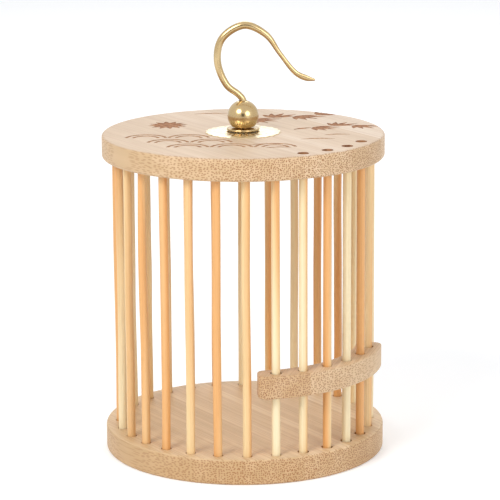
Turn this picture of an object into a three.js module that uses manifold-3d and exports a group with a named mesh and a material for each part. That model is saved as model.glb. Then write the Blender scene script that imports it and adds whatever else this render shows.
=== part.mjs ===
// A round bamboo cricket cage with a sliding rod door and a brass hanging hook.
// Millimetres, +Z up. The origin is the centre of the base's underside, and the door faces -Y.
import * as THREE from 'three';
import { mergeVertices } from 'three/addons/utils/BufferGeometryUtils.js';
import Module from 'manifold-3d';

const wasm = await Module();
wasm.setup();

// Boards
const boardDiameter = 100;
const baseThickness = 9;
const topThickness = 8;
const cageHeight = 114.4; // table to the top board's upper face
const boardEase = 0.8; // rounding of the boards' edges
const boardSides = 72;

// Rods
const rodCount = 28;
const rodInset = 5; // from the boards' edge in to the circle that the rods stand on
const rodDiameter = 3;
const rodBow = 0.35; // how far a hand-split rod strays from straight
const rodUnevenness = 0.03; // share by which its thickness wanders
const socketDepth = 5;
const fitClearance = 0.3; // between a glued rod and its socket, all round
const rodSides = 10;
const rodRings = 5;

// Door
const doorRodCount = 4;
const slideClearance = 0.55; // between a rod and a hole that it slides in
const dimpleDepth = 2; // the door rods' feet stand in the base this deep
const doorRodTopDrop = 1; // their tops stop this far below the top board's face
const barBottom = 30.3;
const barThickness = 8;
const barWidth = 9.2; // radial
const barInnerShare = 0.52; // share of the width on the inner side of the rods
const barOverhang = 6.3; // past the guide rods, along the rod circle
const barCorner = 2.6; // corner radius in plan
const barEase = 0.6;

// Hook and its fittings
const wireDiameter = 2.4;
const wireBore = wireDiameter + 2 * fitClearance;
const plateDiameter = 27;
const plateThickness = 0.5;
const plateScallops = 24;
const scallopDepth = 0.6;
const fluteHeight = 0.35;
const ballDiameter = 11;
const ballCentreHeight = 5.5; // above the plate
const neckDiameter = 5.3;
const neckTop = 1.7;
const flangeDiameter = 11.7;
const flangeBottom = 0.4;
const flangeTop = 1.2;
const bossDiameter = 6.6;
const washerDiameter = 12;
const washerThickness = 0.8;
const nutAcrossCorners = 7;
const nutThickness = 2.4;
const shankEnd = 0.8; // the wire's end shows this far below its nut
const hookRise = 32.2; // the bight's highest centreline point above the ball's centre
const hookTurn = -46.6; // degrees from +X to the hook's tip
const tipWidthShare = 1.25; // the hammered tip is this much wider than the wire
const wireSides = 12;

const rodRadius = rodDiameter / 2;
const rodCircleRadius = boardDiameter / 2 - rodInset;
const topUnderside = cageHeight - topThickness;
const rodPitch = (2 * Math.PI) / rodCount;

const materials = {
  board: new THREE.MeshStandardMaterial({ color: 0xdcc294, roughness: 0.6, metalness: 0 }),
  rod: new THREE.MeshStandardMaterial({ color: 0xd9b273, roughness: 0.5, metalness: 0 }),
  bar: new THREE.MeshStandardMaterial({ color: 0xd8bb88, roughness: 0.6, metalness: 0 }),
  brass: new THREE.MeshStandardMaterial({ color: 0xd6a53c, roughness: 0.25, metalness: 1 }),
};

function toSolid(geometry) {
  const bare = geometry.clone();
  bare.deleteAttribute('normal');
  bare.deleteAttribute('uv');
  const merged = mergeVertices(bare, 1e-4);
  const corners = merged.index.array;
  const kept = [];
  for (let i = 0; i < corners.length; i += 3) {
    const [a, b, c] = [corners[i], corners[i + 1], corners[i + 2]];
    if (a !== b && b !== c && c !== a) kept.push(a, b, c);
  }
  return new wasm.Manifold(new wasm.Mesh({
    numProp: 3,
    vertProperties: new Float32Array(merged.attributes.position.array),
    triVerts: new Uint32Array(kept),
  }));
}

function toGeometry(solid) {
  const mesh = solid.getMesh();
  const geometry = new THREE.BufferGeometry();
  geometry.setAttribute('position', new THREE.BufferAttribute(mesh.vertProperties, 3));
  geometry.setIndex(new THREE.BufferAttribute(mesh.triVerts, 1));
  return geometry;
}

// A turned piece: its profile runs up the outside and is given as [radius, height].
function turned(profile, sides) {
  const points = profile.map(([radius, height]) => new THREE.Vector2(radius, height));
  return new THREE.LatheGeometry(points, sides).rotateX(Math.PI / 2);
}

// An upright cylinder from one height to another.
function post(radius, bottom, top, sides, x = 0, y = 0) {
  const geometry = new THREE.CylinderGeometry(radius, radius, top - bottom, sides);
  return geometry.rotateX(Math.PI / 2).translate(x, y, (bottom + top) / 2);
}

// A closed skin over rings of points that all have the same count.
function skin(rings) {
  const sides = rings[0].length;
  const positions = rings.flat().flatMap((p) => [p.x, p.y, p.z]);
  const triangles = [];
  for (let ring = 0; ring + 1 < rings.length; ring += 1) {
    for (let side = 0; side < sides; side += 1) {
      const a = ring * sides + side;
      const b = ring * sides + ((side + 1) % sides);
      triangles.push(a, b, b + sides, a, b + sides, a + sides);
    }
  }
  const last = (rings.length - 1) * sides;
  for (let side = 1; side + 1 < sides; side += 1) {
    triangles.push(0, side + 1, side, last, last + side, last + side + 1);
  }
  const geometry = new THREE.BufferGeometry();
  geometry.setAttribute('position', new THREE.Float32BufferAttribute(positions, 3));
  geometry.setIndex(triangles);
  return geometry;
}

function angleOf(index) {
  return -Math.PI / 2 + (index + 0.5) * rodPitch;
}

function placeOf(index) {
  const angle = angleOf(index);
  return [rodCircleRadius * Math.cos(angle), rodCircleRadius * Math.sin(angle)];
}

// The rods of the door lie on both sides of -Y, the guide rods just outside them.
const halfDoor = doorRodCount / 2;
const isDoorRod = (index) => index < halfDoor || index >= rodCount - halfDoor;
const isGuideRod = (index) => index === halfDoor || index === rodCount - halfDoor - 1;

function boardBlank(bottom, top) {
  const radius = boardDiameter / 2;
  const step = boardEase * (1 - Math.SQRT1_2);
  return toSolid(turned([
    [0, bottom],
    [radius - boardEase, bottom],
    [radius - step, bottom + step],
    [radius, bottom + boardEase],
    [radius, top - boardEase],
    [radius - step, top - step],
    [radius - boardEase, top],
    [0, top],
  ], boardSides));
}

function drilled(board, index, radius, bottom, top) {
  const [x, y] = placeOf(index);
  return board.subtract(toSolid(post(radius, bottom, top, 12, x, y)));
}

const fixedHole = rodRadius + fitClearance;
const slideHole = rodRadius + slideClearance;
const past = 1; // how far a drill runs past a face

function baseBoard() {
  let board = boardBlank(0, baseThickness);
  for (let index = 0; index < rodCount; index += 1) {
    const door = isDoorRod(index);
    const depth = door ? dimpleDepth : socketDepth;
    const radius = door ? slideHole : fixedHole;
    board = drilled(board, index, radius, baseThickness - depth, baseThickness + past);
  }
  return toGeometry(board);
}

function topBoard() {
  let board = boardBlank(topUnderside, cageHeight);
  for (let index = 0; index < rodCount; index += 1) {
    if (isDoorRod(index)) {
      board = drilled(board, index, slideHole, topUnderside - past, cageHeight + past);
    } else {
      board = drilled(board, index, fixedHole, topUnderside - past, topUnderside + socketDepth);
    }
  }
  const shankHole = post(wireBore / 2, topUnderside - past, cageHeight + past, 12);
  return toGeometry(board.subtract(toSolid(shankHole)));
}

// A split and rounded bamboo rod. Its ends stay on its place, and a fixed rod bows a little between.
function rod(index, bottom, top, straight) {
  const [x, y] = placeOf(index);
  const bow = straight ? 0 : rodBow * Math.sin(index * 2.7);
  const lean = index * 1.9;
  const rings = [];
  for (let ring = 0; ring < rodRings; ring += 1) {
    const along = ring / (rodRings - 1);
    const radius = rodRadius * (1 + rodUnevenness * Math.sin(index * 5.1 + ring * 2.3));
    const shift = bow * Math.sin(Math.PI * along);
    const points = [];
    for (let side = 0; side < rodSides; side += 1) {
      const turn = (2 * Math.PI * side) / rodSides;
      points.push(new THREE.Vector3(
        x + shift * Math.cos(lean) + radius * Math.cos(turn),
        y + shift * Math.sin(lean) + radius * Math.sin(turn),
        bottom + (top - bottom) * along,
      ));
    }
    rings.push(points);
  }
  return skin(rings);
}

function arc(x, y, radius, from, to, steps) {
  const points = [];
  for (let step = 0; step <= steps; step += 1) {
    const angle = from + ((to - from) * step) / steps;
    points.push(new THREE.Vector2(x + radius * Math.cos(angle), y + radius * Math.sin(angle)));
  }
  return points;
}

// The curved bar, drilled for the rods that it carries and for the guide rods that it slides on.
function doorBar() {
  const middle = -Math.PI / 2;
  const inner = rodCircleRadius - barWidth * barInnerShare;
  const outer = inner + barWidth;
  const reach = (halfDoor + 0.5) * rodPitch + barOverhang / rodCircleRadius;
  const corner = (radius, side) => {
    const turn = reach - barCorner / radius;
    return middle + side * turn;
  };
  const outerCentre = outer - barCorner;
  const innerCentre = inner + barCorner;
  const outline = [
    ...arc(0, 0, outer, corner(outerCentre, -1), corner(outerCentre, 1), 20),
  ];
  for (const [centre, from, to] of [[outerCentre, 0, 90], [innerCentre, 90, 180]]) {
    const angle = corner(centre, 1);
    const [x, y] = [centre * Math.cos(angle), centre * Math.sin(angle)];
    const turn = (degrees) => angle + THREE.MathUtils.degToRad(degrees);
    outline.push(...arc(x, y, barCorner, turn(from), turn(to), 4));
  }
  outline.push(...arc(0, 0, inner, corner(innerCentre, 1), corner(innerCentre, -1), 20));
  for (const [centre, from, to] of [[innerCentre, 180, 270], [outerCentre, 270, 360]]) {
    const angle = corner(centre, -1);
    const [x, y] = [centre * Math.cos(angle), centre * Math.sin(angle)];
    const turn = (degrees) => angle + THREE.MathUtils.degToRad(degrees);
    outline.push(...arc(x, y, barCorner, turn(from), turn(to), 4));
  }
  const apart = outline.filter((p, i) => p.distanceTo(outline[(i + 1) % outline.length]) > 0.01);
  const shape = new THREE.Shape(apart);
  const geometry = new THREE.ExtrudeGeometry(shape, {
    depth: barThickness - 2 * barEase,
    bevelThickness: barEase,
    bevelSize: barEase,
    bevelOffset: -barEase,
    bevelSegments: 2,
    curveSegments: 1,
  }).translate(0, 0, barBottom + barEase);
  let bar = toSolid(geometry);
  for (let index = 0; index < rodCount; index += 1) {
    if (isDoorRod(index) || isGuideRod(index)) {
      const radius = isDoorRod(index) ? fixedHole : slideHole;
      bar = drilled(bar, index, radius, barBottom - past, barBottom + barThickness + past);
    }
  }
  return toGeometry(bar);
}

// The thin plate: its rim is scalloped, and a flute rises towards each lobe.
function scallopedPlate() {
  const sides = plateScallops * 4;
  const bands = [wireBore / 2, bossDiameter / 2 + 0.6, plateDiameter * 0.3, plateDiameter / 2];
  const point = (band, side, height) => {
    const turn = (2 * Math.PI * side) / sides;
    const wave = 0.5 - 0.5 * Math.cos(turn * plateScallops);
    const rim = band === bands.length - 1;
    const radius = bands[band] - (rim ? scallopDepth * (1 - wave) : 0);
    const flute = band < 2 ? 0 : fluteHeight * wave * (rim ? 0.6 : 1);
    const lift = height > 0 ? flute : 0;
    return new THREE.Vector3(
      radius * Math.cos(turn), radius * Math.sin(turn), cageHeight + height + lift);
  };
  const ringAt = (band, height) => Array.from({ length: sides }, (_, side) => point(band, side, height));
  const loop = [
    ...bands.map((_, band) => ringAt(band, 0)),
    ...bands.map((_, band) => ringAt(bands.length - 1 - band, plateThickness)),
  ];
  const positions = loop.flat().flatMap((p) => [p.x, p.y, p.z]);
  const triangles = [];
  for (let ring = 0; ring < loop.length; ring += 1) {
    const next = (ring + 1) % loop.length;
    for (let side = 0; side < sides; side += 1) {
      const other = (side + 1) % sides;
      const [a, b] = [ring * sides + side, ring * sides + other];
      const [c, d] = [next * sides + other, next * sides + side];
      triangles.push(a, b, c, a, c, d);
    }
  }
  const geometry = new THREE.BufferGeometry();
  geometry.setAttribute('position', new THREE.Float32BufferAttribute(positions, 3));
  geometry.setIndex(triangles);
  return geometry;
}

const plateTop = cageHeight + plateThickness;

function ballFerrule() {
  const bore = wireBore / 2;
  const ball = ballDiameter / 2;
  const profile = [
    [bore, 0],
    [bossDiameter / 2, 0],
    [bossDiameter / 2, flangeBottom],
    [flangeDiameter / 2 - 0.2, flangeBottom],
    [flangeDiameter / 2, (flangeBottom + flangeTop) / 2],
    [flangeDiameter / 2 - 0.2, flangeTop],
    [neckDiameter / 2, flangeTop],
    [neckDiameter / 2, neckTop],
  ];
  const from = Math.asin((neckTop - ballCentreHeight) / ball);
  const to = Math.acos(bore / ball);
  const steps = 12;
  for (let step = 0; step <= steps; step += 1) {
    const angle = from + ((to - from) * step) / steps;
    profile.push([ball * Math.cos(angle), ballCentreHeight + ball * Math.sin(angle)]);
  }
  profile.push([bore, 0]);
  return turned(profile, 32).translate(0, 0, plateTop);
}

function washer() {
  const bore = wireBore / 2;
  const [low, high] = [topUnderside - washerThickness, topUnderside];
  const outer = washerDiameter / 2;
  return turned([[bore, low], [outer, low], [outer, high], [bore, high], [bore, low]], 32);
}

const nutTop = topUnderside - washerThickness - fitClearance;

function nut() {
  const bore = wireBore / 2;
  const low = nutTop - nutThickness;
  const outer = nutAcrossCorners / 2;
  return turned([[bore, low], [outer, low], [outer, nutTop], [bore, nutTop], [bore, low]], 6);
}

// The wire: a straight shank, a lean out of the ball, the bight, and a hammered tip that flicks out.
function hookWire() {
  const ballCentre = plateTop + ballCentreHeight;
  const bottom = nutTop - nutThickness - shankEnd;
  const rise = (share) => ballCentre + hookRise * share;
  const path = new THREE.CatmullRomCurve3([
    [0, bottom],
    [0, topUnderside],
    [0, ballCentre],
    [0, ballCentre + ballDiameter / 2],
    [-1.6, rise(0.235)],
    [-5.6, rise(0.335)],
    [-8.9, rise(0.6)],
    [-7.2, rise(0.85)],
    [0.6, rise(1)],
    [8.2, rise(0.89)],
    [13.1, rise(0.68)],
    [18.6, rise(0.47)],
    [25.4, rise(0.39)],
  ].map(([out, height]) => new THREE.Vector3(out, 0, height)), false, 'centripetal');
  const steps = 64;
  const rings = [];
  for (let step = 0; step <= steps; step += 1) {
    const along = step / steps;
    const centre = path.getPointAt(along);
    const forward = path.getTangentAt(along);
    const side = new THREE.Vector3(-forward.z, 0, forward.x);
    const tail = Math.max(0, (along - 0.78) / 0.22);
    const end = tail < 0.8 ? 1 : 1 - 0.8 * ((tail - 0.8) / 0.2) ** 2;
    const wide = (1 + (tipWidthShare - 1) * Math.sin(Math.PI * Math.min(1, tail * 1.2))) * end;
    const thick = (1 - 0.45 * tail) * end;
    const points = [];
    for (let corner = 0; corner < wireSides; corner += 1) {
      const turn = (2 * Math.PI * corner) / wireSides;
      const across = (wireDiameter / 2) * wide * Math.cos(turn);
      const over = (wireDiameter / 2) * thick * Math.sin(turn);
      points.push(centre.clone().addScaledVector(side, across).add(new THREE.Vector3(0, -over, 0)));
    }
    rings.push(points);
  }
  return skin(rings);
}

const cage = new THREE.Group();
cage.name = 'cricket_cage';

function place(name, geometry, material) {
  const mesh = new THREE.Mesh(geometry, material);
  mesh.name = name;
  cage.add(mesh);
  return mesh;
}

place('base_board', baseBoard(), materials.board);
place('top_board', topBoard(), materials.board);

const fixedSpan = [baseThickness - socketDepth + fitClearance, topUnderside + socketDepth - fitClearance];
const doorSpan = [baseThickness - dimpleDepth + fitClearance, cageHeight - doorRodTopDrop];
let cageRods = 0;
let doorRods = 0;
let guideRods = 0;
for (let index = 0; index < rodCount; index += 1) {
  if (isDoorRod(index)) {
    doorRods += 1;
    place(`door_rod_${doorRods}`, rod(index, ...doorSpan, true), materials.rod);
  } else if (isGuideRod(index)) {
    guideRods += 1;
    place(`guide_rod_${guideRods}`, rod(index, ...fixedSpan, true), materials.rod);
  } else {
    cageRods += 1;
    const number = String(cageRods).padStart(2, '0');
    place(`cage_rod_${number}`, rod(index, ...fixedSpan, false), materials.rod);
  }
}

place('door_bar', doorBar(), materials.bar);
place('scalloped_plate', scallopedPlate(), materials.brass);
place('ball_ferrule', ballFerrule(), materials.brass);
place('hook_washer', washer(), materials.brass);
place('hook_nut', nut(), materials.brass);
place('hook_wire', hookWire(), materials.brass).rotation.z = THREE.MathUtils.degToRad(hookTurn);

export default cage;
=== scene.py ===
import math

import bpy
from mathutils import Euler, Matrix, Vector


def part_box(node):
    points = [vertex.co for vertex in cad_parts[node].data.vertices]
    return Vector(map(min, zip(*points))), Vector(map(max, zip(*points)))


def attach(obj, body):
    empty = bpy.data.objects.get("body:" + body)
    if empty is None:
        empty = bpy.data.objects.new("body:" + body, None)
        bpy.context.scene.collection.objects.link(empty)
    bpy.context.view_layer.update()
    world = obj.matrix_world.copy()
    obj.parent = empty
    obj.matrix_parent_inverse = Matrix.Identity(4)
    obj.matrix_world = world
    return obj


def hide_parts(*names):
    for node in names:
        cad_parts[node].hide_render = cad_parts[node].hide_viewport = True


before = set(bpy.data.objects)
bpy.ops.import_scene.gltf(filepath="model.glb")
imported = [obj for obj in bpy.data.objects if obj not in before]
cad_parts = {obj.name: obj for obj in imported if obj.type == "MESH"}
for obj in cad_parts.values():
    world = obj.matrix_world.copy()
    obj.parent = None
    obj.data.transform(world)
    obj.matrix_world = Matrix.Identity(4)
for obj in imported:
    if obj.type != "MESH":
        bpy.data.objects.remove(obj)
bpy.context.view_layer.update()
scene = bpy.context.scene
scene.view_settings.view_transform = "Standard"

# Camera
# It stands to the left of the door, a little above the cage, with a long lens.
# It looks slightly down, and leans by less than half a degree.
camera_turn = math.radians(-46.0)
camera_distance, camera_height = 0.865, 0.2712
camera_pitch, camera_yaw, camera_roll = 0.2267, 0.0037, 0.005
camera = bpy.data.objects.new("camera", bpy.data.cameras.new("camera"))
scene.collection.objects.link(camera)
camera.data.sensor_width = 36
camera.data.lens = 178.9
camera.location = (
    math.sin(camera_turn) * camera_distance,
    -math.cos(camera_turn) * camera_distance,
    camera_height,
)
camera.rotation_euler = Euler((math.pi / 2 - camera_pitch, camera_roll, camera_turn - camera_yaw))
scene.camera = camera

# Floor and studio
# A plain white floor and world, which the camera and polished metal see as white, and three soft lamps.
# The floor's lift is for those rays alone, so it keeps the cage's shadow and throws no more light on it.
# A dark card behind the camera shows in polished metal as a soft dark spot.
floor_half = 3.0
floor_lift = 0.21
room_strength = 0.65
lamp_aim = Vector((0, 0, 0.07))
card_turn = math.radians(-46.6)
card_distance, card_width = 1.35, 0.55
card_low, card_high = 0.15, 0.75


def add(tree, kind, inputs=None, **settings):
    """A node with its settings, and with each input set to a value or joined to a socket."""
    node = tree.nodes.new(kind)
    for key, value in settings.items():
        setattr(node, key, value)
    for key, value in (inputs or {}).items():
        if isinstance(value, bpy.types.NodeSocket):
            tree.links.new(value, node.inputs[key])
        else:
            node.inputs[key].default_value = value
    return node


def maths(tree, operation, a, b=0.0, c=0.0):
    return add(tree, "ShaderNodeMath", {0: a, 1: b, 2: c}, operation=operation).outputs[0]


def seen_directly(tree):
    """1 for rays of the camera and of polished metal, and 0 for the light that falls on things."""
    rays = add(tree, "ShaderNodeLightPath").outputs
    return maths(tree, "MAXIMUM", rays["Is Camera Ray"], rays["Is Glossy Ray"])


def new_material(name):
    material = bpy.data.materials.new(name)
    material.use_nodes = True
    tree = material.node_tree
    return material, tree, tree.nodes["Principled BSDF"].inputs


def new_piece(name, points, faces, finish):
    mesh = bpy.data.meshes.new(name)
    mesh.from_pydata(points, [], faces)
    mesh.materials.append(finish)
    piece = bpy.data.objects.new(name, mesh)
    scene.collection.objects.link(piece)
    return piece


white_floor, floor_tree, floor_shader = new_material("white_floor")
floor_shader["Base Color"].default_value = (0.93, 0.93, 0.93, 1)
floor_shader["Roughness"].default_value = 0.8
floor_shader["Emission Color"].default_value = (1, 1, 1, 1)
floor_glow = maths(floor_tree, "MULTIPLY", seen_directly(floor_tree), floor_lift)
floor_tree.links.new(floor_glow, floor_shader["Emission Strength"])
floor_corners = [(x * floor_half, y * floor_half, 0) for x, y in ((-1, -1), (1, -1), (1, 1), (-1, 1))]
floor = new_piece("floor", floor_corners, [(0, 1, 2, 3)], white_floor)

world = bpy.data.worlds.new("studio")
scene.world = world
world.use_nodes = True
world_tree = world.node_tree
room = world_tree.nodes["Background"]
room.inputs["Color"].default_value = (0.95, 0.97, 1.0, 1)
room.inputs["Strength"].default_value = room_strength
white_sky = add(world_tree, "ShaderNodeBackground", {"Color": (1, 1, 1, 1), "Strength": 1.0})
sky = add(
    world_tree, "ShaderNodeMixShader",
    {0: seen_directly(world_tree), 1: room.outputs[0], 2: white_sky.outputs[0]},
)
world_tree.links.new(sky.outputs[0], world_tree.nodes["World Output"].inputs["Surface"])


def softbox(name, place, size, power):
    """A round soft lamp in metres and watts that faces the cage."""
    lamp = bpy.data.lights.new(name, "AREA")
    lamp.shape = "DISK"
    lamp.size = size
    lamp.energy = power
    stand = bpy.data.objects.new(name, lamp)
    scene.collection.objects.link(stand)
    stand.location = place
    stand.rotation_euler = (lamp_aim - Vector(place)).to_track_quat("-Z", "Y").to_euler()


softbox("key", (-1.0, -0.1, 0.9), 0.6, 8)
softbox("front", (-0.2, -1.2, 0.6), 0.7, 4.5)
softbox("back", (0.7, 0.7, 0.8), 0.6, 2.2)

dark_card, _, card_shader = new_material("dark_card")
card_shader["Base Color"].default_value = (0.03, 0.03, 0.03, 1)
card_shader["Roughness"].default_value = 0.9
card_middle = Vector((math.sin(card_turn), -math.cos(card_turn), 0)) * card_distance
card_half = Vector((-card_middle.y, card_middle.x, 0)).normalized() * (card_width / 2)
card_edges = (card_middle - card_half, card_middle + card_half)
card_corners = [(edge.x, edge.y, z) for z in (card_low, card_high) for edge in card_edges]
standing = new_piece("camera_card", card_corners, [(0, 1, 3, 2)], dark_card)

# Base board
# A disc sawn from laminated bamboo, with an eased rim. Its strips differ in tone, and its fibre bundles are
# brown dots where the rim cuts across them and faint streaks along the grain.
# Blind sockets hold the fixed rods, and four dimples take the door rods' feet.
base_low, base_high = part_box("base_board")
base_top = base_high.z
board_radius = base_high.x
board_ease = 0.0009
board_sides = 192
rod_count = 28
rod_pitch = 2 * math.pi / rod_count
rod_circle = 0.045
rod_radius = 0.0015
fixed_hole, slide_hole = rod_radius + 0.0003, rod_radius + 0.00055
socket_depth, dimple_depth = 0.005, 0.002
drill_overrun = 0.001
door_places = (-2, -1, 0, 1)
fixed_places = range(2, rod_count - 2)
board_grain = 13
board_tones = [(0.3, (0.62, 0.42, 0.23)), (0.5, (0.7, 0.49, 0.29)), (0.7, (0.77, 0.58, 0.38))]
# Painted light and shade for the boards: painted shade darkens the base's sides, and upward faces of the base
# and the top board take tints of painted light.
board_painted_light = [(0.9, 0.85, 0.76), (1.04, 1.06, 1.05), (0.95, 1.0, 1.16)]
board_fibre = (0.33, 0.125, 0.035)
streak_share = 0.22
# Rod tops face up, down in the top board's holes, and are painted dark brown: end grain, with painted shade
# from the hole.
shaded_end_grain = (0.2, 0.1, 0.04, 1)


def noise(tree, place, scale, detail):
    return add(tree, "ShaderNodeTexNoise", {"Vector": place, "Scale": scale, "Detail": detail}).outputs


def fibre_group():
    """Takes a place whose Z runs along the grain, and gives Tone, Fibre and Height, each from 0 to 1."""
    grain_squeeze = 0.03
    wave_scale, wave_reach = 90.0, 0.0005
    bundle_jitter, bundle_inside, bundle_outside = 0.75, 0.1, -0.08
    size_scale, size_range, least_size = 500.0, 0.5, 0.75
    band_scale, pore_scale = 260.0, 2600.0
    band_share, strip_share, fibre_hollow = 0.65, 0.35, 0.6
    group = bpy.data.node_groups.new("bamboo_fibres", "ShaderNodeTree")
    sockets = group.interface
    sockets.new_socket("Vector", in_out="INPUT", socket_type="NodeSocketVector")
    sizes = {"Strip Width": 0.02, "Strip Shift": 0.0073, "Bundle Spacing": 0.0007, "Bundle Size": 0.31}
    for name, value in sizes.items():
        sockets.new_socket(name, in_out="INPUT", socket_type="NodeSocketFloat").default_value = value
    for name in ("Tone", "Fibre", "Height"):
        sockets.new_socket(name, in_out="OUTPUT", socket_type="NodeSocketFloat")
    given = add(group, "NodeGroupInput").outputs
    made = add(group, "NodeGroupOutput").inputs

    across, deep, along = add(group, "ShaderNodeSeparateXYZ", {0: given["Vector"]}).outputs
    shifted = maths(group, "ADD", across, given["Strip Shift"])
    strip = maths(group, "FLOOR", maths(group, "DIVIDE", shifted, given["Strip Width"]))
    strip_noise = add(group, "ShaderNodeTexWhiteNoise", {"W": strip}, noise_dimensions="1D")
    strip_tone = strip_noise.outputs["Value"]
    squeezed = maths(group, "MULTIPLY_ADD", along, grain_squeeze, strip_tone)
    straight = add(group, "ShaderNodeCombineXYZ", {0: across, 1: deep, 2: squeezed}).outputs[0]
    waves = noise(group, given["Vector"], wave_scale, 1.0)["Color"]
    wave = add(group, "ShaderNodeVectorMath", {0: waves, "Scale": wave_reach}, operation="SCALE").outputs[0]
    grain = add(group, "ShaderNodeVectorMath", {0: straight, 1: wave}, operation="ADD").outputs[0]

    frequency = maths(group, "DIVIDE", 1.0, given["Bundle Spacing"])
    bundles = add(
        group, "ShaderNodeTexVoronoi",
        {"Vector": grain, "Scale": frequency, "Randomness": bundle_jitter}, voronoi_dimensions="2D",
    ).outputs["Distance"]
    varied = maths(group, "MULTIPLY_ADD", noise(group, grain, size_scale, 1.0)[0], size_range, least_size)
    edge = maths(group, "SUBTRACT", maths(group, "MULTIPLY", given["Bundle Size"], varied), bundles)
    fibre = add(
        group, "ShaderNodeMapRange", {"Value": edge, "From Min": bundle_outside, "From Max": bundle_inside}
    ).outputs["Result"]
    bands = maths(group, "MULTIPLY", noise(group, grain, band_scale, 4.0)[0], band_share)
    tone = maths(group, "ADD", bands, maths(group, "MULTIPLY", strip_tone, strip_share))
    pores = noise(group, grain, pore_scale, 2.0)[0]
    height = maths(group, "SUBTRACT", pores, maths(group, "MULTIPLY", fibre, fibre_hollow))
    for name, value in (("Tone", tone), ("Fibre", fibre), ("Height", height)):
        group.links.new(value, made[name])
    return group


fibres = fibre_group()


def colour_steps(tree, factor, steps):
    ramp = add(tree, "ShaderNodeValToRGB", {"Fac": factor})
    while len(ramp.color_ramp.elements) < len(steps):
        ramp.color_ramp.elements.new(0.5)
    for element, (place, colour) in zip(ramp.color_ramp.elements, steps):
        element.position = place
        element.color = (*colour, 1)
    return ramp.outputs["Color"]


def mixed(tree, share, one, two, way="MIX"):
    mix = add(tree, "ShaderNodeMix", {0: share, 6: one, 7: two}, data_type="RGBA", blend_type=way)
    return mix.outputs[2]


def bamboo(name, tones, fibre_colour, fibre_share, roughness, spacing, grain_turn=0, painted_light=None, rods=False):
    """grain_turn turns a board's grain from Y, in degrees about Z, and a rod's grain is upright.
    Tints, when given, are painted light and shade that multiply the tones: painted shade on the sides of the
    low board, and painted light on upward faces of the low and the high board."""
    material, tree, shader = new_material(name)
    here = add(tree, "ShaderNodeTexCoord").outputs
    laid, grain_way = here["Object"], (0, 0, 1)
    if not rods:
        turn = math.radians(grain_turn)
        grain_way = (math.sin(turn), math.cos(turn), 0)
        turned = add(tree, "ShaderNodeMapping", {"Vector": laid, "Rotation": (0, 0, turn)}).outputs[0]
        x, y, z = add(tree, "ShaderNodeSeparateXYZ", {0: turned}).outputs
        laid = add(tree, "ShaderNodeCombineXYZ", {0: x, 1: z, 2: y}).outputs[0]
    bundled = {"Vector": laid, "Bundle Spacing": spacing}
    grain = add(tree, "ShaderNodeGroup", bundled, node_tree=fibres).outputs
    tone = grain["Tone"]
    if rods:
        rod_scale, rod_squeeze, least, most, rod_share = 170.0, 0.03, 0.33, 0.67, 0.7
        squeeze = {"Vector": here["Object"], "Scale": (1, 1, rod_squeeze)}
        flat = add(tree, "ShaderNodeMapping", squeeze).outputs[0]
        each = noise(tree, flat, rod_scale, 0.0)[0]
        spread = add(tree, "ShaderNodeMapRange", {"Value": each, "From Min": least, "From Max": most})
        tones_mixed = {0: rod_share, 2: tone, 3: spread.outputs[0]}
        tone = add(tree, "ShaderNodeMix", tones_mixed, data_type="FLOAT").outputs[0]
    ground = colour_steps(tree, tone, tones)
    level = add(tree, "ShaderNodeSeparateXYZ", {0: here["Object"]}).outputs[2]
    facing_up = add(tree, "ShaderNodeSeparateXYZ", {0: here["Normal"]}).outputs[2]
    # Painted shade on the lower board's sides, and painted light on the upward faces of both boards.
    if painted_light:
        between_boards, upper_slope = 0.05, 0.7
        low = maths(tree, "LESS_THAN", level, between_boards)
        upper = maths(tree, "GREATER_THAN", facing_up, upper_slope)
        low_side_shade, low_face_light, high_face_light = ((*tint, 1) for tint in painted_light)
        side_shade = mixed(tree, low, (1, 1, 1, 1), low_side_shade)
        face_light = mixed(tree, low, high_face_light, low_face_light)
        ground = mixed(tree, 1.0, ground, mixed(tree, upper, side_shade, face_light), "MULTIPLY")
    if rods:
        # Upward faces, the rod tops, take the dark brown of painted shade in the holes over end grain.
        flat_slope = 0.9
        ground = mixed(tree, maths(tree, "GREATER_THAN", facing_up, flat_slope), ground, shaded_end_grain)
    facing = add(tree, "ShaderNodeVectorMath", {0: here["Normal"], 1: grain_way}, operation="DOT_PRODUCT")
    cut_across = maths(tree, "ABSOLUTE", facing.outputs["Value"])
    strength = add(
        tree, "ShaderNodeMapRange",
        {"Value": cut_across, "To Min": fibre_share * streak_share, "To Max": fibre_share},
    ).outputs[0]
    share = maths(tree, "MULTIPLY", grain["Fibre"], strength)
    tree.links.new(mixed(tree, share, ground, (*fibre_colour, 1)), shader["Base Color"])
    smoothest, roughest = roughness - 0.08, roughness + 0.1
    gloss = add(tree, "ShaderNodeMapRange", {"Value": tone, "To Min": smoothest, "To Max": roughest})
    tree.links.new(gloss.outputs["Result"], shader["Roughness"])
    bump_strength, bump_depth = 0.35, 0.00012
    bumps = {"Height": grain["Height"], "Strength": bump_strength, "Distance": bump_depth}
    bump = add(tree, "ShaderNodeBump", bumps)
    tree.links.new(bump.outputs["Normal"], shader["Normal"])
    return material


def skin(rings, sides, closed=False):
    """The faces between rings of points that have the same number of sides."""
    faces = []
    for ring in range(rings if closed else rings - 1):
        low, high = ring * sides, (ring + 1) % rings * sides
        for side in range(sides):
            after = (side + 1) % sides
            faces.append((low + side, low + after, high + after, high + side))
    return faces


def end_caps(rings, sides):
    return [tuple(reversed(range(sides))), tuple(range((rings - 1) * sides, rings * sides))]


def turned_faces(profile, sides, closed=False):
    """Rings round Z through (radius, height) pairs that run up the outside."""
    turns = [2 * math.pi * side / sides for side in range(sides)]
    points = []
    for radius, height in profile:
        points += [(radius * math.cos(turn), radius * math.sin(turn), height) for turn in turns]
    faces = skin(len(profile), sides, closed)
    return points, faces if closed else faces + end_caps(len(profile), sides)


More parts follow.
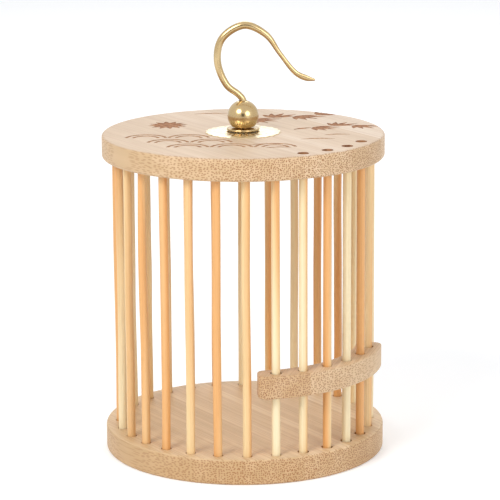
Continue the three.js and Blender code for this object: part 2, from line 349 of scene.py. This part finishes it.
def drill(x, y, radius, low, high, sides=24):
    points, faces = turned_faces([(radius, low), (radius, high)], sides)
    return [(x + px, y + py, pz) for px, py, pz in points], faces


def rod_place(index):
    angle = -math.pi / 2 + (index + 0.5) * rod_pitch
    return rod_circle * math.cos(angle), rod_circle * math.sin(angle)


def settle(piece):
    """Turns what the modifiers make into the piece's own plain mesh."""
    ready = piece.evaluated_get(bpy.context.evaluated_depsgraph_get())
    mesh = bpy.data.meshes.new_from_object(ready)
    piece.modifiers.clear()
    piece.data = mesh


def cut(piece, shapes, finish):
    """Cuts closed shapes out of a piece, and gives the cut faces their own finish."""
    points, faces = [], []
    for shape_points, shape_faces in shapes:
        first = len(points)
        points += shape_points
        faces += [tuple(first + corner for corner in face) for face in shape_faces]
    cutter = new_piece("cutter", points, faces, finish)
    boolean = piece.modifiers.new("cut", "BOOLEAN")
    boolean.operation = "DIFFERENCE"
    boolean.solver = "EXACT"
    boolean.use_self = True
    boolean.material_mode = "TRANSFER"
    boolean.object = cutter
    settle(piece)
    bpy.data.objects.remove(cutter)


def smooth(piece, angle=35):
    piece.data.shade_smooth()
    piece.data.set_sharp_from_angle(angle=math.radians(angle))


def board(name, low, high):
    """A disc whose rim is rounded over at both faces."""
    quarter = [math.radians(15 * step) for step in range(7)]
    inset = board_radius - board_ease
    under = [(inset + board_ease * math.sin(a), low + board_ease * (1 - math.cos(a))) for a in quarter]
    over = [(inset + board_ease * math.cos(a), high - board_ease * (1 - math.sin(a))) for a in quarter]
    return new_piece(name, *turned_faces(under + over, board_sides), board_finish)


board_finish = bamboo(
    "board_bamboo", board_tones, board_fibre, 0.95, 0.5, 0.0007, grain_turn=board_grain, painted_light=board_painted_light
)
base = board("base_disc", base_low.z, base_top)
base_clear = base_top + drill_overrun
sockets = [drill(*rod_place(i), fixed_hole, base_top - socket_depth, base_clear) for i in fixed_places]
dimples = [drill(*rod_place(i), slide_hole, base_top - dimple_depth, base_clear) for i in door_places]
cut(base, sockets + dimples, board_finish)
smooth(base)
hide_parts("base_board")
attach(base, "cage")

# Top board
# The same board as the base, with blind sockets for the fixed rods, four holes that the door rods slide
# through, whose walls are painted dark brown as shade, and a bore for the hook's wire. A burnt engraving 0.15
# mm deep
# decorates it: two bamboo sprays and a round flower in dark brown, and rows of scale-shaped waves and short
# lines in light brown.
top_low, top_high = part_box("top_board")
top_face, top_underside = top_high.z, top_low.z
shank_bore = 0.0015
engraving_depth = 0.00015
mottle_scale = 700.0
picture_right = Vector((math.cos(camera_turn), math.sin(camera_turn)))
picture_back = Vector((-picture_right.y, picture_right.x))
flower_place, petals, first_petal = (-27, 15), 12, 8
petal_length, petal_width = 7.4, 2.5
wave_rows = [(-34, -19), (-26, -11), (-19, 11)]
wave_step, wave_rise, wave_front = 15, 9, -11
wave_arcs, wave_line = (7, 4.4), 1.1
short_lines = [(8, -24, 12), (12, -30, 9), (26, -14, 12), (33, -6, 9), (-12, 38, 12)]


def mottled_brown_wood(name, dark, light):
    material, tree, shader = new_material(name)
    place = add(tree, "ShaderNodeTexCoord").outputs["Object"]
    mottle = noise(tree, place, mottle_scale, 4.0)[0]
    tree.links.new(colour_steps(tree, mottle, [(0.35, dark), (0.65, light)]), shader["Base Color"])
    shader["Roughness"].default_value = 0.8
    return material


def prism(outline, low, high):
    """An upright block on an outline that runs anticlockwise."""
    points = [(x, y, z) for z in (low, high) for x, y in outline]
    return points, end_caps(2, len(outline)) + skin(2, len(outline))


def engraved(outline):
    """A cutter for an outline on the top face, given in millimetres to the right and to the back."""
    spots = [picture_right * (u / 1000) + picture_back * (v / 1000) for u, v in outline]
    area = sum(a.x * b.y - b.x * a.y for a, b in zip(spots, spots[1:] + spots[:1]))
    if area < 0:
        spots.reverse()
    return prism(spots, top_face - engraving_depth, top_face + drill_overrun)


def leaf(u, v, turn, length, width):
    direction = Vector((math.cos(turn), math.sin(turn)))
    across = Vector((-direction.y, direction.x))
    shares = [step / 8 for step in range(9)]
    edge = [width / 2 * math.sin(math.pi * share**0.8) for share in shares]
    one = [(share * length, half) for share, half in zip(shares, edge)]
    two = [(share * length, -half) for share, half in zip(shares[1:-1], edge[1:-1])]
    return [tuple(Vector((u, v)) + direction * a + across * b) for a, b in one + two[::-1]]


def stroke(start, end, bend, width):
    """A brush line from one place to another, bowed sideways, widest in its middle."""
    start, end = Vector(start), Vector(end)
    across = Vector((start.y - end.y, end.x - start.x)).normalized()
    shares = [step / 10 for step in range(11)]
    middle = [start.lerp(end, share) + across * bend * math.sin(math.pi * share) for share in shares]
    halves = [width / 2 * (0.25 + 0.75 * math.sin(math.pi * share)) for share in shares]
    one = [point + across * half for point, half in zip(middle, halves)]
    two = [point - across * half for point, half in zip(middle, halves)]
    return [tuple(point) for point in one + two[::-1]]


def arc(centre, radius, start, end, steps):
    turns = [start + (end - start) * step / steps for step in range(steps + 1)]
    return [(centre[0] + radius * math.cos(t), centre[1] + radius * math.sin(t)) for t in turns]


def drawn_arc(centre, radius, start, end, width):
    """A drawn line round a centre, from one angle to another in degrees."""
    turns = math.radians(start), math.radians(end)
    outer = arc(centre, radius + width / 2, *turns, 24)
    inner = arc(centre, radius - width / 2, *turns, 24)
    return outer + inner[::-1]


def bamboo_spray(u, v, joints, turn, size):
    """A jointed stalk that leans over, with a fan of leaves at each joint."""
    joint_length, joint_bend, joint_width, joint_lean = 0.9, 0.04, 0.22, 10
    leaf_length, leaf_shrink, leaf_width = 1.3, 0.16, 0.27
    leaves, first_leaf, next_leaf = 4, 18, 27
    marks = []
    place, heading = Vector((u, v)), math.radians(turn)
    for joint in range(joints):
        step = Vector((math.cos(heading), math.sin(heading))) * size
        marks.append(stroke(place, place + step * joint_length, joint_bend * size, joint_width * size))
        place, heading = place + step, heading - math.radians(joint_lean)
        side = 1 if joint % 2 else -1
        for fan in range(leaves):
            leaf_turn = heading + side * math.radians(first_leaf + next_leaf * fan)
            length = size * (leaf_length - leaf_shrink * fan)
            marks.append(leaf(place.x, place.y, leaf_turn, length, leaf_width * size))
    return marks


filled = bamboo_spray(-4, 19, 4, 40, 9) + bamboo_spray(18, 5, 3, 30, 8)
petal_turns = [math.radians(360 / petals * petal + first_petal) for petal in range(petals)]
filled += [leaf(*flower_place, turn, petal_length, petal_width) for turn in petal_turns]
drawn = []
for row, (first, last) in enumerate(wave_rows):
    for u in range(first, last + 1, wave_step):
        centre = (u, wave_front - wave_rise * row)
        drawn += [drawn_arc(centre, radius, 8, 172, wave_line) for radius in wave_arcs]
for u, v, span in short_lines:
    drawn.append(stroke((u - span / 2, v), (u + span / 2, v + 0.8), 1.0, 1.3))

# The dark brown serves the burnt engraving, and the walls of the door rods' holes as painted shade.
burnt_and_hole_shade = mottled_brown_wood("burnt_bamboo_and_hole_shade", (0.22, 0.08, 0.03), (0.48, 0.23, 0.1))
scorched = mottled_brown_wood("scorched_bamboo", (0.3, 0.13, 0.05), (0.5, 0.27, 0.13))
top = board("top_disc", top_underside, top_face)
blind = top_underside + socket_depth
low_clear, top_clear = top_underside - drill_overrun, top_face + drill_overrun
holes = [drill(*rod_place(i), fixed_hole, low_clear, blind) for i in fixed_places]
holes.append(drill(0, 0, shank_bore, low_clear, top_clear))
cut(top, holes, board_finish)
# The slide holes' walls take the dark brown as painted shade.
cut(top, [drill(*rod_place(i), slide_hole, low_clear, top_clear) for i in door_places], burnt_and_hole_shade)
cut(top, [engraved(mark) for mark in drawn], scorched)
cut(top, [engraved(mark) for mark in filled], burnt_and_hole_shade)
smooth(top)
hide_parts("top_board")
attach(top, "cage")

# Rods
# Each rod is split bamboo, scraped round by hand: not quite straight, a little uneven, with faint ridges.
# The fixed rods stand in sockets in both boards. The four door rods slide through the top board, so they are
# straight, and so are the two rods beside them that guide the door.
fixed_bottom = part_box("guide_rod_1")[0].z
fixed_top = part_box("guide_rod_1")[1].z
door_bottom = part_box("door_rod_1")[0].z
door_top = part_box("door_rod_1")[1].z
fixed_bow = 0.0016
ridge_height = 0.00016
rod_tones = [(0.18, (0.79, 0.41, 0.15)), (0.5, (0.86, 0.62, 0.32)), (0.8, (0.9, 0.77, 0.5))]
rod_fibre = (0.5, 0.26, 0.09)
rod_finish = bamboo("rod_bamboo", rod_tones, rod_fibre, 0.6, 0.42, 0.0007, rods=True)


def rod_tree():
    """Rods on a circle. First and Step count places round it, and Bow is how far a rod may sway."""
    pieces_along, sides = 44, 18
    sway_noise, girth_noise, ridge_noise = (310.0, 16.0), (530.0, 45.0), (1500.0, 22.0)
    girth_range, least_girth = 0.22, 0.89
    tree = bpy.data.node_groups.new("split_rods", "GeometryNodeTree")
    sockets = tree.interface
    sizes = ("First", "Step", "Pitch", "Circle", "Bottom", "Top", "Rod Radius", "Bow", "Ridges")
    kinds = {"Count": "Int", **{name: "Float" for name in sizes}, "Finish": "Material"}
    for name, kind in kinds.items():
        sockets.new_socket(name, in_out="INPUT", socket_type=f"NodeSocket{kind}")
    sockets.new_socket("Geometry", in_out="OUTPUT", socket_type="NodeSocketGeometry")
    given = add(tree, "NodeGroupInput").outputs

    def joined(x, y, z):
        return add(tree, "ShaderNodeCombineXYZ", {0: x, 1: y, 2: z}).outputs[0]

    index = add(tree, "GeometryNodeInputIndex").outputs[0]
    number = maths(tree, "MULTIPLY_ADD", index, given["Step"], given["First"])
    turned = maths(tree, "MULTIPLY", maths(tree, "ADD", number, 0.5), given["Pitch"])
    turn = maths(tree, "SUBTRACT", turned, math.pi / 2)
    foot_x = maths(tree, "MULTIPLY", maths(tree, "COSINE", turn), given["Circle"])
    foot_y = maths(tree, "MULTIPLY", maths(tree, "SINE", turn), given["Circle"])
    feet = add(tree, "GeometryNodePoints", {"Count": given["Count"], "Position": joined(foot_x, foot_y, 0.0)})
    ends = {"Start": joined(0.0, 0.0, given["Bottom"]), "End": joined(0.0, 0.0, given["Top"])}
    line = add(tree, "GeometryNodeCurvePrimitiveLine", ends).outputs[0]
    parts = add(tree, "GeometryNodeResampleCurve", {"Curve": line, "Count": pieces_along}).outputs[0]
    stood = add(tree, "GeometryNodeInstanceOnPoints", {"Points": feet.outputs[0], "Instance": parts})
    lines = add(tree, "GeometryNodeRealizeInstances", {0: stood.outputs[0]}).outputs[0]

    position = add(tree, "GeometryNodeInputPosition").outputs[0]
    x, y, z = add(tree, "ShaderNodeSeparateXYZ", {0: position}).outputs
    span = maths(tree, "SUBTRACT", given["Top"], given["Bottom"])
    along = maths(tree, "DIVIDE", maths(tree, "SUBTRACT", z, given["Bottom"]), span)
    swell = maths(tree, "SINE", maths(tree, "MULTIPLY", along, math.pi))

    def wander(across, upright):
        spot = joined(
            maths(tree, "MULTIPLY", x, across), maths(tree, "MULTIPLY", y, across),
            maths(tree, "MULTIPLY", z, upright),
        )
        return noise(tree, spot, 1.0, 1.0)

    sway_x, sway_y, _ = add(tree, "ShaderNodeSeparateXYZ", {0: wander(*sway_noise)["Color"]}).outputs
    reach = maths(tree, "MULTIPLY", given["Bow"], swell)
    shift = joined(
        maths(tree, "MULTIPLY", maths(tree, "SUBTRACT", sway_x, 0.5), reach),
        maths(tree, "MULTIPLY", maths(tree, "SUBTRACT", sway_y, 0.5), reach),
        0.0,
    )
    bowed = add(tree, "GeometryNodeSetPosition", {"Geometry": lines, "Offset": shift}).outputs[0]
    girth = maths(tree, "MULTIPLY_ADD", wander(*girth_noise)[0], girth_range, least_girth)
    uneven = add(tree, "GeometryNodeSetCurveRadius", {"Curve": bowed, "Radius": girth}).outputs[0]
    round_section = {"Resolution": sides, "Radius": given["Rod Radius"]}
    section = add(tree, "GeometryNodeCurvePrimitiveCircle", round_section).outputs[0]
    swept = {"Curve": uneven, "Profile Curve": section, "Fill Caps": True}
    plain = add(tree, "GeometryNodeCurveToMesh", swept).outputs[0]
    normal = add(tree, "GeometryNodeInputNormal").outputs[0]
    ridge = maths(tree, "MULTIPLY", maths(tree, "SUBTRACT", wander(*ridge_noise)[0], 0.5), given["Ridges"])
    push = add(tree, "ShaderNodeVectorMath", {0: normal, "Scale": ridge}, operation="SCALE").outputs[0]
    ridged = add(tree, "GeometryNodeSetPosition", {"Geometry": plain, "Offset": push}).outputs[0]
    smoothed = add(tree, "GeometryNodeSetShadeSmooth", {"Geometry": ridged}).outputs[0]
    real = add(tree, "GeometryNodeRealizeInstances", {0: smoothed}).outputs[0]
    painted = add(tree, "GeometryNodeSetMaterial", {"Geometry": real, "Material": given["Finish"]})
    tree.links.new(painted.outputs[0], add(tree, "NodeGroupOutput").inputs[0])
    return tree


split_rods = rod_tree()


def rods(name, replaced, body, bottom, top_end, count, first, step, bow):
    piece = new_piece(name, [], [], rod_finish)
    maker = piece.modifiers.new("rods", "NODES")
    maker.node_group = split_rods
    values = {
        "Count": count, "First": float(first), "Step": float(step), "Pitch": rod_pitch,
        "Circle": rod_circle, "Bottom": bottom, "Top": top_end, "Rod Radius": rod_radius,
        "Bow": bow, "Ridges": ridge_height, "Finish": rod_finish,
    }
    for key, value in values.items():
        maker[split_rods.interface.items_tree[key].identifier] = value
    settle(piece)
    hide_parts(*replaced)
    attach(piece, body)


cage_nodes = [f"cage_rod_{number:02d}" for number in range(1, 23)]
door_nodes = [f"door_rod_{number}" for number in range(1, 5)]
rods("cage_rods", cage_nodes, "cage", fixed_bottom, fixed_top, 22, 3, 1, fixed_bow)
rods("guide_rods", ["guide_rod_1", "guide_rod_2"], "cage", fixed_bottom, fixed_top, 2, 2, 23, 0.0)
rods("door_rods", door_nodes, "door", door_bottom, door_top, 4, -2, 1, 0.0)

# Door bar
# A curved block sawn from laminated bamboo, with rounded corners and eased edges.
# The four door rods are glued into it, and its two outer holes run on the guide rods.
bar_low, bar_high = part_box("door_bar")
bar_width, bar_inner_share = 0.0092, 0.52
bar_pitches, bar_overhang = 2.5, 0.0063
bar_inner = rod_circle - bar_width * bar_inner_share
bar_outer = rod_circle + bar_width * (1 - bar_inner_share)
bar_reach = bar_pitches * rod_pitch + bar_overhang / rod_circle
bar_corner = 0.0026
bar_ease = 0.00045
bar_places = (-3, -2, -1, 0, 1, 2)
bar_grain = 60
bar_tones = [(0.3, (0.58, 0.37, 0.19)), (0.5, (0.65, 0.44, 0.25)), (0.7, (0.71, 0.51, 0.31))]
bar_fibre = (0.3, 0.11, 0.035)
bar_finish = bamboo("bar_bamboo", bar_tones, bar_fibre, 0.95, 0.5, 0.00066, grain_turn=bar_grain)


def bar_outline():
    """The bar in plan, anticlockwise: two long arcs on the rods' circle, and a rounded corner at each end."""
    outer, inner = bar_outer - bar_corner, bar_inner + bar_corner
    ends = {}
    for side in (-1, 1):
        for radius in (outer, inner):
            ends[side, radius] = -math.pi / 2 + side * (bar_reach - bar_corner / radius)
    outline = arc((0, 0), bar_outer, ends[-1, outer], ends[1, outer], 60)
    quarter = math.pi / 2
    for side, radius, first in ((1, outer, 0), (1, inner, 1), (-1, inner, 2), (-1, outer, 3)):
        turn = ends[side, radius]
        centre = (radius * math.cos(turn), radius * math.sin(turn))
        outline += arc(centre, bar_corner, turn + first * quarter, turn + (first + 1) * quarter, 8)
        if (side, radius) == (1, inner):
            outline += arc((0, 0), bar_inner, ends[1, inner], ends[-1, inner], 60)
    least_step = 1e-5
    kept = []
    for point in outline:
        if not kept or math.dist(point, kept[-1]) > least_step:
            kept.append(point)
    if math.dist(kept[0], kept[-1]) < least_step:
        kept.pop()
    return kept


bar = new_piece("curved_bar", *prism(bar_outline(), bar_low.z, bar_high.z), bar_finish)
bar_bevel = bar.modifiers.new("eased", "BEVEL")
bar_bevel.width = bar_ease
bar_bevel.segments = 4
bar_bevel.angle_limit = math.radians(60)
settle(bar)
bar_drills = []
for place in bar_places:
    bore = fixed_hole if place in door_places else slide_hole
    bar_drills.append(drill(*rod_place(place), bore, bar_low.z - drill_overrun, bar_high.z + drill_overrun))
cut(bar, bar_drills, bar_finish)
smooth(bar)
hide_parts("door_bar")
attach(bar, "door")

# Brass plate
# A thin plate pressed from brass, with a scalloped rim and flutes that fade out at both ends.
# It lies on the top board under the ball. Handling has left the shine of all the brass slightly uneven.
plate_low, plate_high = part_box("scalloped_plate")
plate_radius = plate_high.x
plate_scallops, plate_rings = 24, 12
plate_sides = plate_scallops * 12
plate_thickness, flute_height, scallop_depth = 0.0005, 0.0002, 0.0006
plate_hub, flute_start = 0.0039, 0.0045
flute_stretch, flute_skew = 1.1, 0.8
rim_thinning = 0.0002
scallop_power, thinning_power = 6, 8
plate_level = 0.0006
# The plate's brass is painted paler than the ball and hook: painted reflection of the bright studio, which
# the flat plate catches at a low angle.
plate_reflection_colour = (0.74, 0.65, 0.47, 1)
brass_tones = [(0.35, (0.52, 0.37, 0.18)), (0.7, (0.61, 0.46, 0.25))]
wear_scale = 180.0
smoothest_brass, roughest_brass, plate_roughening = 0.16, 0.3, 0.15

brass, brass_tree, brass_shader = new_material("polished_brass")
brass_shader["Metallic"].default_value = 1
brass_place = add(brass_tree, "ShaderNodeTexCoord").outputs["Object"]
brass_level = add(brass_tree, "ShaderNodeSeparateXYZ", {0: brass_place}).outputs[2]
on_plate = maths(brass_tree, "LESS_THAN", brass_level, top_face + plate_level)
wear = noise(brass_tree, brass_place, wear_scale, 4.0)[0]
# Below the plate's level the brass takes the paler colour of painted reflection.
brass_tone = mixed(brass_tree, on_plate, colour_steps(brass_tree, wear, brass_tones), plate_reflection_colour)
brass_tree.links.new(brass_tone, brass_shader["Base Color"])
shine = add(
    brass_tree, "ShaderNodeMapRange", {"Value": wear, "To Min": smoothest_brass, "To Max": roughest_brass}
).outputs["Result"]
brass_roughness = maths(brass_tree, "MULTIPLY_ADD", on_plate, plate_roughening, shine)
brass_tree.links.new(brass_roughness, brass_shader["Roughness"])


def plate_faces():
    """Rings out along the flat underside and back along the fluted top."""
    steps = [step / plate_rings for step in range(plate_rings + 1)]
    rings = [shank_bore] + [plate_hub + (plate_radius - plate_hub) * step for step in steps]
    rows = [(radius, False) for radius in rings] + [(radius, True) for radius in reversed(rings)]
    points = []
    for radius, upper in rows:
        out = max(0.0, (radius - flute_start) / (plate_radius - flute_start))
        flute = flute_height * math.sin(math.pi * min(1, out * flute_stretch) ** flute_skew)
        for side in range(plate_sides):
            angle = 2 * math.pi * side / plate_sides
            wave = 0.5 - 0.5 * math.cos(angle * plate_scallops)
            reach = radius - scallop_depth * (1 - wave) * out**scallop_power
            fluted = plate_thickness + flute * wave - rim_thinning * out**thinning_power
            lift = fluted if upper else 0
            points.append((reach * math.cos(angle), reach * math.sin(angle), plate_low.z + lift))
    return points, skin(len(rows), plate_sides, closed=True)


plate = new_piece("fluted_plate", *plate_faces(), brass)
smooth(plate, 50)
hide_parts("scalloped_plate")
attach(plate, "cage")

# Ball
# A brass ball turned in one piece with its neck and flange. It stands on the plate over a short boss,
# and it is bored right through for the hook's wire.
ball_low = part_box("ball_ferrule")[0]
ball_sides = 96
ball_radius, ball_rise = 0.0055, 0.0055
boss_radius, neck_radius, flange_radius = 0.0033, 0.00265, 0.00585
flange_bottom, flange_half = 0.0004, 0.0004
neck_flare, neck_foot, neck_top = 0.0003, 0.0014, 0.0017


def ferrule_profile():
    foot = ball_low.z
    rim_centre, rim_level = flange_radius - flange_half, foot + flange_bottom + flange_half
    profile = [(shank_bore, foot), (boss_radius, foot), (boss_radius, foot + flange_bottom)]
    profile += arc((rim_centre, rim_level), flange_half, -math.pi / 2, math.pi / 2, 8)
    profile.append((neck_radius + neck_flare, rim_level + flange_half))
    profile += [(neck_radius, foot + neck_foot), (neck_radius, foot + neck_top)]
    start = math.asin((neck_top - ball_rise) / ball_radius)
    end = math.acos(shank_bore / ball_radius)
    return profile + arc((0, foot + ball_rise), ball_radius, start, end, 32)


ferrule = new_piece("turned_ball", *turned_faces(ferrule_profile(), ball_sides, closed=True), brass)
smooth(ferrule, 40)
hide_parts("ball_ferrule")
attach(ferrule, "cage")

# Hook
# Brass wire, bent by hand and hammered flat near its pointed tip. It turns in the ball, swells a little over
# its arch and draws down before the tip. Each step gives, in millimetres, how far out it is, how high it is
# above the ball's centre, half its width and half its thickness.
hook_turn = math.radians(-46.6)
ball_middle = ball_low.z + ball_rise
hook_foot = (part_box("hook_wire")[0].z - ball_middle) * 1000
hook_steps = [
    (0, hook_foot, 1.2, 1.2),
    (0, -13.5, 1.2, 1.2),
    (0, 0, 1.2, 1.2),
    (0, 5.5, 1.2, 1.2),
    (-1.6, 7.57, 1.2, 1.2),
    (-5.6, 10.79, 1.24, 1.24),
    (-8.9, 19.32, 1.3, 1.3),
    (-7.2, 27.37, 1.33, 1.33),
    (0.6, 32.05, 1.35, 1.35),
    (8.2, 28.66, 1.15, 1.15),
    (13.1, 21.9, 0.82, 0.8),
    (18.6, 15.13, 0.92, 0.66),
    (22.2, 13.3, 1.02, 0.5),
    (25.4, 12.56, 0.35, 0.2),
]
hook_sides, hook_parts = 20, 10
least_gap = 0.01


def between(one, two, low, high, at):
    share = (at - low) / (high - low)
    return tuple(p + (q - p) * share for p, q in zip(one, two))


def on_curve(before, start, end, after, share):
    """A place on the smooth curve from start to end, which allows for uneven steps."""
    knots = [0.0]
    for one, two in ((before, start), (start, end), (end, after)):
        knots.append(knots[-1] + max(math.dist(one[:2], two[:2]), least_gap) ** 0.5)
    at = knots[1] + (knots[2] - knots[1]) * share
    first = between(before, start, knots[0], knots[1], at)
    second = between(start, end, knots[1], knots[2], at)
    third = between(end, after, knots[2], knots[3], at)
    early = between(first, second, knots[0], knots[2], at)
    late = between(second, third, knots[1], knots[3], at)
    return between(early, late, knots[1], knots[2], at)


def hook_faces():
    def past(end, inner):
        return tuple(2 * p - q for p, q in zip(end, inner))

    chain = [past(hook_steps[0], hook_steps[1]), *hook_steps, past(hook_steps[-1], hook_steps[-2])]
    line = []
    for first in range(len(hook_steps) - 1):
        line += [on_curve(*chain[first:first + 4], part / hook_parts) for part in range(hook_parts)]
    line.append(hook_steps[-1])
    points = []
    for i, (out, rise, wide, thick) in enumerate(line):
        one, two = line[max(0, i - 1)], line[min(len(line) - 1, i + 1)]
        way = Vector((two[0] - one[0], two[1] - one[1])).normalized()
        for corner in range(hook_sides):
            turn = 2 * math.pi * corner / hook_sides
            across, over = wide * math.cos(turn), thick * math.sin(turn)
            reach, height = out - way.y * across, rise + way.x * across
            x = reach * math.cos(hook_turn) + over * math.sin(hook_turn)
            y = reach * math.sin(hook_turn) - over * math.cos(hook_turn)
            points.append((x / 1000, y / 1000, ball_middle + height / 1000))
    return points, skin(len(line), hook_sides) + end_caps(len(line), hook_sides)


hook = new_piece("bent_hook", *hook_faces(), brass)
smooth(hook, 50)
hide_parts("hook_wire")
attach(hook, "hook")

# Washer and nut
# They hold the hook's wire under the top board, inside the cage.
# Their plain shapes come from the frame and take the same brass.
for node in ("hook_washer", "hook_nut"):
    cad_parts[node].material_slots[0].material = brass
